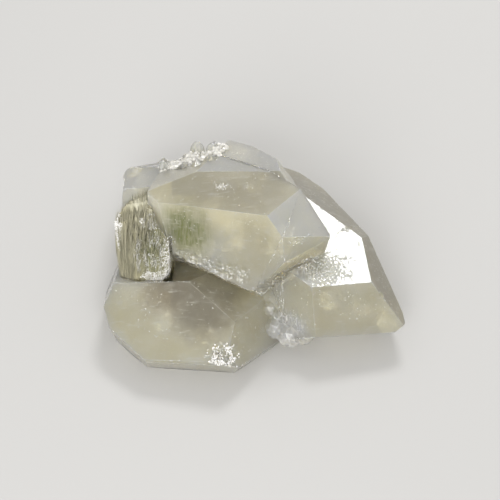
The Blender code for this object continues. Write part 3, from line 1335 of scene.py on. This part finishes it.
class Growths:
    """One tree for each small form, built once."""

    def __init__(self) -> None:
        """Build the trees."""
        self.trees = {form: GrowthTree(f"scatter_{form.value}") for form in Form}
        self._hair(self.trees[Form.HAIR])
        self._grain(self.trees[Form.GRAIN])
        self._crystal(self.trees[Form.CRYSTAL])

    @staticmethod
    def _hair(tree: GrowthTree) -> None:
        """A bent hair with three sides that thins to its tip.

        Args:
            tree: The tree that scatters it.
        """
        middle = tree.add("ShaderNodeCombineXYZ", {0: tree.given["Bend"], 2: 0.55})
        line = tree.add("GeometryNodeCurveQuadraticBezier", {
            "Resolution": 3, "Start": (0.0, 0.0, 0.0), "Middle": middle.outputs[0],
            "End": (0.0, 0.0, 1.0)})
        along = tree.add("GeometryNodeSplineParameter").outputs["Factor"]
        taper = tree.add("ShaderNodeMapRange", {"Value": along, "To Min": 1.0, "To Max": 0.25})
        thin = tree.add("GeometryNodeSetCurveRadius", {
            "Curve": line.outputs[0], "Radius": taper.outputs["Result"]})
        ring = tree.add("GeometryNodeCurvePrimitiveCircle", {"Resolution": 3, "Radius": 1.0})
        tree.scatter(tree.add("GeometryNodeCurveToMesh", {
            "Curve": thin.outputs[0], "Profile Curve": ring.outputs[0],
            "Fill Caps": True}).outputs[0])

    @staticmethod
    def _grain(tree: GrowthTree) -> None:
        """An angular grain with flat faces."""
        ball = tree.add("GeometryNodeMeshIcoSphere", {"Radius": 1.0, "Subdivisions": 1})
        tree.scatter_flat(ball.outputs[0])

    @staticmethod
    def _crystal(tree: GrowthTree) -> None:
        """A six-sided prism with a blunt point.

        Args:
            tree: The tree that scatters it.
        """
        prism, point = (tree.add("GeometryNodeMeshCone", {
            "Vertices": 6, "Radius Bottom": low, "Radius Top": high,
            "Depth": depth}).outputs[0] for low, high, depth in CRYSTAL_PARTS)
        lift = (0.0, 0.0, CRYSTAL_PARTS[0][2])
        raised = tree.add("GeometryNodeTransform", {"Geometry": point, "Translation": lift})
        both = tree.add("GeometryNodeJoinGeometry", {0: prism})
        tree.feed(both.inputs[0], raised.outputs[0])
        tree.scatter_flat(both.outputs[0])


@dataclass(frozen=True)
class Growth:
    """One scatter: which form, where, how dense and how it lies. Sizes in millimetres."""

    form: Form
    zone: Zone
    density: float
    size: float
    length: float
    seed: int
    lay: Point = (0.0, 0.0, 0.0)
    outward: float = 0.0
    spread: float = 0.2
    least: float = 0.5
    bend: float = 0.12
    sink: float = 0.0
    heart: Point = (0.0, 0.0, 0.0)
    rows: Point | None = None
    row_contrast: float = 2.6
    on_ridges: bool = False

    def weight(self, place: Vector) -> float:
        """How much grows at a place.

        Args:
            place: The place, in metres.

        Returns:
            Share of the full density, 0 to 1.
        """
        share = self.zone.share(place)
        if share <= 0.0:
            return 0.0
        if self.rows:
            spot = Vector(place[axis] / MM * self.rows[axis] for axis in range(3))
            share *= min(1.0, max(0.0, 0.5 + self.row_contrast * noise.noise(spot)))
        return share

    def grow(self, name: str, surface: bpy.types.Mesh, growths: Growths,
             finish: Material) -> Object:
        """Scatter the form over a surface.

        Args:
            name: Name of the result.
            surface: The mesh it grows on.
            growths: The trees.
            finish: Its material.

        Returns:
            A plain mesh object of the scattered forms.
        """
        host = in_scene(f"{name}_host", surface.copy())
        weights = [self.weight(vertex.co) for vertex in host.data.vertices]
        if self.on_ridges:
            edges = host.data.attributes["edge"].data
            weights = [weight * edge.value for weight, edge in zip(weights, edges)]
        layer = host.data.attributes.new("weight", "FLOAT", "POINT")
        layer.data.foreach_set("value", weights)
        tree = growths.trees[self.form]
        values = {"Density": self.density / MM ** 2, "Seed": self.seed, "Size": self.size * MM,
                  "Length": self.length * MM, "Least": self.least,
                  "Bend": self.bend * self.length / self.size,
                  "Lay": self.lay, "Spread": self.spread, "Sink": self.sink,
                  "Heart": tuple(mm(self.heart)), "Outward": self.outward, "Finish": finish}
        modifier = host.modifiers.new("growth", "NODES")
        modifier.node_group = tree.tree
        for label, value in values.items():
            modifier[tree.names[label]] = value
        made = in_scene(name, evaluated_copy(host))
        bpy.data.objects.remove(host, do_unlink=True)
        return made


def grains(zone: Zone, density: float, size: float, height: float, seed: int,
           spread: float = 0.8, rows: Point | None = None, on_ridges: bool = False) -> Growth:
    """A scatter of grains that stand out from their surface.

    Args:
        zone: Where they lie.
        density: Grains for each square millimetre.
        size: Half width.
        height: Half height.
        seed: Seed of their places.
        spread: How far they lean, as a share.
        rows: Pitch of the patches they lie in, if any.
        on_ridges: Whether they keep to the ridges.

    Returns:
        The scatter.
    """
    return Growth(Form.GRAIN, zone, density, size, height, seed, outward=1.0, spread=spread,
                  rows=rows, on_ridges=on_ridges)


def grow_all(name: str, hosts: tuple[tuple[Object, tuple[Growth, ...]], ...],
             growths: Growths, finish: Material) -> Object:
    """Scatter several growths and join them into one object.

    Args:
        name: The object's name.
        hosts: Each object that is grown on, with what grows there.
        growths: The trees.
        finish: The material.

    Returns:
        The object.
    """
    parts = [growth.grow(f"{name}_part", host.data, growths, finish)
             for host, kinds in hosts for growth in kinds]
    with bpy.context.temp_override(active_object=parts[0], selected_editable_objects=parts):
        bpy.ops.object.join()
    parts[0].name = name
    parts[0].data.name = name
    return parts[0]


@dataclass
class ByssoliteMat:
    """The felted mat at the left flank: its dense bed, a curtain of fibres and inner wisps."""

    frame: dict
    node: str = "byssolite_mat"
    bed_end: float = -16.2
    cell: float = 0.75
    streak_depth: float = 0.12
    streak_stretch: Point = (1.1, 0.12, 0.2)
    swell: float = 0.45
    swell_pitch: float = 0.55
    lost_corner: Point = (-17.0, -7.1, 13.0)
    lost_side: Point = (0.79, -0.50, -0.35)
    worn_edge: Zone = Zone((-17.0, -4.0, 13.5), (3.2, 9.5, 8.0))
    worn_rounds: int = 9
    growths: tuple[Growth, ...] = field(default_factory=lambda: MAT_FIBRES)
    wisps: tuple[Growth, ...] = field(default_factory=lambda: PLUME_FIBRES)

    def build_bed(self, material: Material) -> Object:
        """Build the felted bed in place of the CAD solid.

        Args:
            material: The felt's finish.

        Returns:
            The piece.
        """
        bm = node_mesh(self.frame, self.node)
        cut_off(bm, self.lost_corner, self.lost_side)
        bmesh.ops.triangulate(bm, faces=bm.faces)
        refine(bm, self.cell)
        worn = [vertex for vertex in bm.verts if self.worn_edge.share(vertex.co) > 0.0]
        soften(bm, worn, self.worn_rounds)
        bm.normal_update()
        moves = [vertex.normal * (-self._streak(vertex.co / MM) * MM) for vertex in bm.verts]
        for vertex, move in zip(bm.verts, moves):
            vertex.co += move
        shade_smooth(bm)
        bed = object_from("byssolite_felt", bm)
        bed.data.materials.append(material)
        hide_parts(self.node)
        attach(bed, "root")
        return bed

    def _streak(self, place: Vector) -> float:
        """How far the felt sinks between its strands.

        Args:
            place: Where, in millimetres.

        Returns:
            The depth in millimetres.
        """
        across = Vector(place[axis] * self.streak_stretch[axis] for axis in range(3))
        swell = self.swell * (0.5 + 0.5 * noise.noise(place * self.swell_pitch))
        return self.streak_depth * (0.5 + 0.5 * noise.fractal(across, 1.0, 2.0, 3)) + swell

    def build_fibres(self, bed: Object, growths: Growths, material: Material) -> Object:
        """Grow the fibres on the bed.

        Args:
            bed: The felted bed.
            growths: The trees.
            material: The fibres' finish.

        Returns:
            The piece.
        """
        fibres = grow_all("byssolite_fibres", ((bed, self.growths),), growths, material)
        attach(fibres, "root")
        return fibres

    def build_wisps(self, growths: Growths, material: Material) -> Object:
        """Grow the fibres that the main crystal has enclosed.

        Args:
            growths: The trees.
            material: The fibres' finish.

        Returns:
            The piece.
        """
        bm = node_mesh(self.frame, self.node)
        outer = [vertex for vertex in bm.verts if vertex.co.x < self.bed_end * MM]
        bmesh.ops.delete(bm, geom=outer, context="VERTS")
        bmesh.ops.triangulate(bm, faces=bm.faces)
        refine(bm, self.cell)
        host = object_from("wisps_host", bm)
        wisps = grow_all("enclosed_fibres", ((host, self.wisps),), growths, material)
        bpy.data.objects.remove(host, do_unlink=True)
        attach(wisps, "root")
        return wisps


@dataclass
class SparkleCrust:
    """Tiny quartz grains on the mat and on the broken places of the crystals, opaque white so that
    they also paint glints; the white needles on the mat and the grains along the ridges are
    painted glints.
    """

    on_mat: tuple[Growth, ...] = field(default_factory=lambda: MAT_GRAINS_AND_GLINTS)
    on_quartz: tuple[Growth, ...] = field(default_factory=lambda: QUARTZ_GRAINS_AND_GLINTS)

    def build(self, bed: Object, quartz: Object, growths: Growths, material: Material) -> Object:
        """Grow the grains.

        Args:
            bed: The felted bed.
            quartz: The crystals.
            growths: The trees.
            material: The grains' finish.

        Returns:
            The piece.
        """
        crust = grow_all("sparkle_grains", ((bed, self.on_mat), (quartz, self.on_quartz)),
                         growths, material)
        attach(crust, "root")
        return crust


@dataclass
class CrownDruse:
    """The crust of small white crystals behind the main crystal."""

    growths: tuple[Growth, ...] = field(default_factory=lambda: CROWN_CRYSTALS)

    def build(self, quartz: Object, growths: Growths, material: Material) -> Object:
        """Grow the small crystals.

        Args:
            quartz: The crystals they stand on.
            growths: The trees.
            material: Their finish.

        Returns:
            The piece.
        """
        druse = grow_all("crown_druse", ((quartz, self.growths),), growths, material)
        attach(druse, "root")
        return druse


def standing(place: Point, heading: Point) -> Matrix:
    """The matrix that stands a form at a place with its Z along a heading."""
    turn = Vector(heading).to_track_quat("Z", "Y").to_matrix().to_4x4()
    return Matrix.Translation(mm(place)) @ turn


@dataclass(frozen=True)
class Veil:
    """A healed crack: its middle, the way it faces, its width and height in millimetres."""

    centre: Point
    facing: Point
    size: tuple[float, float]
    steps: int = 18
    reach: float = 0.92
    raggedness: float = 0.30
    waviness: float = 0.5
    edge_pitch: float = 2.0
    wave_pitch: float = 1.5

    def add_to(self, bm: BMesh) -> None:
        """Add its ragged, slightly wavy sheet to a mesh.

        Args:
            bm: The mesh.
        """
        matrix = standing(self.centre, self.facing)
        grid = {}
        for row in range(self.steps + 1):
            for column in range(self.steps + 1):
                across, up = 2.0 * column / self.steps - 1.0, 2.0 * row / self.steps - 1.0
                ragged = noise.noise(Vector((
                    across * self.edge_pitch, up * self.edge_pitch, self.centre[0])))
                if math.hypot(across, up) + self.raggedness * ragged > self.reach:
                    continue
                wave = noise.noise(Vector((
                    across * self.wave_pitch, up * self.wave_pitch, self.centre[1])))
                grid[column, row] = bm.verts.new(matrix @ Vector((
                    across * self.size[0] * MM / 2.0, up * self.size[1] * MM / 2.0,
                    self.waviness * wave * MM)))
        for column, row in grid:
            corners = [(column, row), (column + 1, row), (column + 1, row + 1), (column, row + 1)]
            if all(corner in grid for corner in corners):
                bm.faces.new([grid[corner] for corner in corners])


@dataclass
class HealedCracks:
    """The cloudy sheets enclosed in the crystals, as thin closed bodies."""

    veils: tuple[Veil, ...] = field(default_factory=lambda: VEILS)
    thickness: float = 0.08

    def build(self, material: Material) -> Object:
        """Build all the sheets.

        Args:
            material: Their finish.

        Returns:
            The piece.
        """
        bm = bmesh.new()
        for veil in self.veils:
            veil.add_to(bm)
        loose = [vertex for vertex in bm.verts if not vertex.link_faces]
        bmesh.ops.delete(bm, geom=loose, context="VERTS")
        bmesh.ops.solidify(bm, geom=bm.faces[:], thickness=self.thickness * MM)
        bmesh.ops.recalc_face_normals(bm, faces=bm.faces)
        shade_smooth(bm)
        cracks = object_from("healed_cracks", bm)
        cracks.data.materials.append(material)
        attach(cracks, "root")
        return cracks


@dataclass(frozen=True)
class Bud:
    """A rounded clear crystal: where, which way it points, its half width and length."""

    place: Point
    heading: Point
    girth: float
    length: float
    rings: tuple[tuple[float, float], ...] = (
        (-0.4, 0.7), (0.0, 1.0), (0.45, 0.96), (0.75, 0.66), (0.95, 0.28))

    def add_to(self, bm: BMesh) -> None:
        """Add its blunt six-sided form to a mesh.

        Args:
            bm: The mesh.
        """
        matrix = standing(self.place, self.heading)
        rings = []
        for share, width in self.rings:
            rings.append([bm.verts.new(matrix @ Vector((
                math.cos(side * math.pi / 3.0) * width * self.girth * MM,
                math.sin(side * math.pi / 3.0) * width * self.girth * MM,
                share * self.length * MM))) for side in range(6)])
        for low, high in zip(rings, rings[1:]):
            for side in range(6):
                bm.faces.new((low[side], low[side - 5], high[side - 5], high[side]))
        bm.faces.new(list(reversed(rings[0])))
        bm.faces.new(rings[-1])


@dataclass
class ClearBuds:
    """Rounded, glass-clear buds that stand on the crown."""

    buds: tuple[Bud, ...] = field(default_factory=lambda: CROWN_BUDS)
    rounding: int = 2

    def build(self, material: Material) -> Object:
        """Build the buds.

        Args:
            material: Their finish.

        Returns:
            The piece.
        """
        bm = bmesh.new()
        for bud in self.buds:
            bud.add_to(bm)
        bmesh.ops.recalc_face_normals(bm, faces=bm.faces)
        rough = object_from("buds_rough", bm)
        rounding = rough.modifiers.new("rounding", "SUBSURF")
        rounding.levels = self.rounding
        rounding.render_levels = self.rounding
        buds = in_scene("clear_buds", evaluated_copy(rough))
        bpy.data.objects.remove(rough, do_unlink=True)
        buds.data.polygons.foreach_set("use_smooth", [True] * len(buds.data.polygons))
        buds.data.materials.append(material)
        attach(buds, "root")
        return buds


VEILS = (
    Veil((-3.0, -2.5, 19.5), (0.5, -0.55, 0.65), (9.0, 5.5)),
    Veil((4.5, -1.5, 18.5), (-0.45, -0.6, 0.65), (7.0, 6.0)),
    Veil((-8.0, 3.0, 20.0), (-0.2, 0.3, 0.9), (7.0, 5.0)),
    Veil((1.5, 9.0, 19.5), (0.3, -0.2, 0.9), (8.0, 4.0)),
    Veil((-17.0, -14.0, 8.0), (0.35, -0.5, 0.8), (8.0, 5.5)),
    Veil((-9.0, -17.5, 6.5), (-0.5, -0.4, 0.75), (6.0, 4.5)),
    Veil((15.5, -10.5, 9.5), (0.4, -0.6, 0.7), (7.0, 5.0)),
    Veil((22.0, -11.0, 8.0), (-0.5, -0.55, 0.65), (6.0, 4.5)),
    Veil((-23.5, 12.0, 15.5), (0.1, -0.2, 0.95), (7.0, 7.0)),
    Veil((-22.5, 13.5, 13.5), (-0.3, -0.3, 0.9), (7.0, 6.0)),
    Veil((-1.0, 13.5, 20.5), (0.1, 0.1, 0.95), (9.0, 4.0)),
    Veil((8.5, -3.0, 21.5), (0.5, -0.4, 0.75), (5.0, 5.0)),
    Veil((26.0, -14.0, 7.0), (0.6, -0.2, 0.75), (4.0, 3.0)),
)
CROWN_BUDS = (
    Bud((-11.6, 22.4, 16.0), (-0.1, 0.35, 0.9), 1.95, 2.9),
    Bud((-8.6, 21.6, 17.4), (0.3, 0.3, 0.9), 1.7, 2.4),
    Bud((-18.4, 17.2, 16.8), (-0.2, 0.2, 0.9), 1.35, 2.6),
)
DOWN_SLOPE = (0.06, -0.91, -0.41)
UP_FACET = (0.0, 0.5, 0.866)
FLANK = Zone((-20.2, -2.5, 15.5), (4.6, 7.4, 6.0), 0.25)
FLANK_ROWS = (1.1, 0.35, 0.35)
MAT_FIBRES = (
    Growth(Form.HAIR, Zone((-26.4, -1.0, 12.5), (2.6, 10.0, 6.5), 0.2), 16.0, 0.026, 3.2, 3,
           DOWN_SLOPE, spread=0.05, bend=0.03),
    Growth(Form.HAIR, Zone((-22.5, 5.0, 19.0), (5.5, 4.5, 4.5), 0.3), 5.0, 0.028, 2.4, 5,
           DOWN_SLOPE, outward=0.10, spread=0.16),
    Growth(Form.HAIR, Zone((-20.6, -2.5, 15.5), (5.0, 7.0, 5.5), 0.3), 3.0, 0.03, 1.2, 7,
           DOWN_SLOPE, outward=0.30, spread=0.35),
)
PLUME_FIBRES = (
    Growth(Form.HAIR, Zone((-12.0, 0.0, 18.5), (9.0, 9.0, 9.0)), 5.0, 0.06, 3.0, 9, UP_FACET,
           spread=0.12, sink=0.8, heart=(-12.5, -1.0, 19.0)),
)
MAT_GRAINS_AND_GLINTS = (
    grains(FLANK, 4.0, 0.18, 0.12, 11, 0.9, FLANK_ROWS),
    # White needles on the flank: painted glints.
    Growth(Form.HAIR, FLANK, 7.0, 0.05, 0.75, 41, DOWN_SLOPE, outward=0.10, spread=0.25,
           rows=FLANK_ROWS),
    grains(Zone((-16.9, -4.5, 14.5), (1.5, 6.0, 6.0), 0.4), 8.0, 0.22, 0.16, 37, 0.9),
    grains(Zone((-19.0, -8.0, 12.6), (4.6, 2.0, 2.0), 0.4), 18.0, 0.25, 0.18, 13, 0.9),
    grains(Zone((-20.4, 2.6, 18.4), (3.0, 2.6, 2.8), 0.5), 16.0, 0.24, 0.18, 15, 0.9),
    grains(Zone((-27.6, 4.0, 12.5), (1.3, 4.5, 4.0), 0.4), 14.0, 0.26, 0.2, 17, 0.9),
)
QUARTZ_GRAINS_AND_GLINTS = (
    grains(Zone((6.0, -7.0, 20.0), (3.8, 2.2, 2.6), 0.6), 4.0, 0.12, 0.08, 43,
           rows=(0.8, 0.8, 0.8)),
    # Grains along the ridges: painted bright dashes of highlight.
    grains(Zone((0.0, 0.0, 16.0), (42.0, 36.0, 15.8), 0.02), 6.0, 0.15, 0.10, 33,
           rows=(0.12, 0.12, 0.12), on_ridges=True),
    grains(Zone((7.8, -15.6, 6.5), (5.2, 4.4, 4.2), 0.4), 14.0, 0.10, 0.06, 35),
    grains(Zone((0.0, -2.0, 18.0), (34.0, 28.0, 18.0), 0.02), 0.45, 0.13, 0.07, 39,
           rows=(0.2, 0.2, 0.2)),
    # Grains on the dull lower part of the glare facet: painted speckles of glare, with real
    # grains.
    grains(Zone((12.6, -6.9, 16.0), (5.8, 4.4, 1.8), 0.6), 11.0, 0.14, 0.09, 19, 0.7),
    grains(Zone((-5.2, -23.4, 8.6), (4.0, 2.6, 2.6), 0.5), 14.0, 0.27, 0.2, 21,
           rows=(1.1, 0.7, 0.7)),
    grains(STRIP, 1.6, 0.14, 0.08, 23),
    grains(Zone((10.2, -5.8, 23.6), (6.0, 1.6, 1.1), 0.5), 4.0, 0.14, 0.09, 25),
    grains(Zone((-6.0, 4.7, 26.8), (1.5, 0.9, 0.6), 0.5), 22.0, 0.16, 0.08, 31),
)
CROWN_CRYSTALS = (
    Growth(Form.CRYSTAL, Zone((-15.8, 16.6, 18.2), (4.0, 4.2, 3.6), 0.3), 1.7, 0.62, 0.85, 27,
           outward=1.0, spread=0.45),
    Growth(Form.CRYSTAL, Zone((-9.8, 19.2, 19.2), (5.4, 4.6, 4.0), 0.3), 1.7, 0.75, 1.1, 28,
           outward=1.0, spread=0.40),
    Growth(Form.CRYSTAL, Zone((-12.4, 18.0, 18.6), (7.8, 5.0, 4.4), 0.4), 5.0, 0.30, 0.45, 29,
           outward=1.0, spread=0.7, least=0.4),
)


# ---------------------------------------------------------------- stage


@dataclass(frozen=True)
class SoftBox:
    """A soft box: its direction from the cluster, distance, width and height, and watts."""

    name: str
    direction: Point
    distance: float
    size: tuple[float, float]
    power: float

    def hang(self, target: Point) -> None:
        """Hang it so that it faces a place.

        Args:
            target: The place, in millimetres.
        """
        direction = Vector(self.direction).normalized()
        data = bpy.data.lights.new(self.name, "AREA")
        data.shape = "RECTANGLE"
        data.size = self.size[0] * MM
        data.size_y = self.size[1] * MM
        data.energy = self.power
        lamp = in_scene(self.name, data)
        lamp.location = mm(target) + direction * self.distance * MM
        lamp.rotation_euler = (-direction).to_track_quat("-Z", "Y").to_euler()


@dataclass
class Stage:
    """Floor, camera and soft studio light."""

    floor_metres: float = 3.0
    tilt: float = 55.0
    distance: float = 245.0
    target: Point = (-0.394, 0.498, 11.0)
    lens: float = 85.0
    sensor: float = 36.0
    nearest: float = 5.0
    light_target: Point = (14.0, -3.0, 14.0)
    lights: tuple[SoftBox, ...] = (
        SoftBox("key", (0.11, 0.56, 0.82), 380.0, (120.0, 90.0), 0.61),
        SoftBox("fill", (-0.25, -0.80, 0.50), 520.0, (360.0, 360.0), 2.08))
    sky_strength: float = 1.01
    sky_span: tuple[float, float] = (-0.05, 0.9)
    sky_top: Colour = (0.95, 0.94, 0.92)
    sky_low: Colour = (0.50, 0.495, 0.49)

    def build(self, floor_material: Material) -> None:
        """Build everything on the stage.

        Args:
            floor_material: The floor's finish.
        """
        self._floor(floor_material)
        self._camera()
        for light in self.lights:
            light.hang(self.light_target)
        self._sky()
        bpy.context.scene.view_settings.view_transform = "Standard"

    def _floor(self, material: Material) -> None:
        """A plain pale floor.

        Args:
            material: Its finish.
        """
        bm = bmesh.new()
        bmesh.ops.create_grid(bm, x_segments=4, y_segments=4, size=self.floor_metres)
        floor = object_from("floor", bm)
        floor.data.materials.append(material)

    def _camera(self) -> None:
        """The camera, looking down at the cluster from its front."""
        tilt = math.radians(self.tilt)
        forward = Vector((0.0, math.cos(tilt), -math.sin(tilt)))
        data = bpy.data.cameras.new("camera")
        data.lens = self.lens
        data.sensor_width = self.sensor
        data.clip_start = self.nearest * MM
        camera = in_scene("camera", data)
        camera.location = mm(self.target) - forward * self.distance * MM
        camera.rotation_euler = forward.to_track_quat("-Z", "Y").to_euler()
        bpy.context.scene.camera = camera

    def _sky(self) -> None:
        """Even studio light, brighter overhead than at the horizon."""
        world = bpy.data.worlds.new("studio")
        world.use_nodes = True
        world.node_tree.nodes.clear()
        tree = ShaderTree(world.node_tree)
        direction = tree.add("ShaderNodeTexCoord").outputs["Generated"]
        height = tree.add("ShaderNodeSeparateXYZ", {0: direction}).outputs["Z"]
        colour = tree.mix(tree.span(height, *self.sky_span), self.sky_low, self.sky_top)
        background = tree.add("ShaderNodeBackground", {
            "Color": colour, "Strength": self.sky_strength})
        tree.add("ShaderNodeOutputWorld", {"Surface": background.outputs[0]})
        bpy.context.scene.world = world


def main() -> None:
    """Load the frame, build each piece in order and set the stage."""
    logging.basicConfig(level=logging.INFO, format="%(message)s")
    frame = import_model()
    shared = SharedEffects()
    growths = Growths()
    quartz = QuartzCluster(frame).build(QuartzFinish().build(shared))
    fibre_finish = FibreFinish().build(shared)
    mat = ByssoliteMat(frame)
    bed = mat.build_bed(FeltFinish().build(shared))
    fibres = mat.build_fibres(bed, growths, fibre_finish)
    wisps = mat.build_wisps(growths, fibre_finish)
    crust = SparkleCrust().build(bed, quartz, growths, GrainFinish().build(shared))
    druse = CrownDruse().build(quartz, growths, WHITE_DRUSE.build(shared))
    buds = ClearBuds().build(CLEAR_BUD.build(shared))
    cracks = HealedCracks().build(VeilFinish().build(shared))
    for piece in (quartz, bed, fibres, wisps, crust, druse, buds, cracks):
        LOG.info("%s: %d faces", piece.name, len(piece.data.polygons))
    Stage().build(FloorFinish().build(shared))


if __name__ == "__main__":
    main()
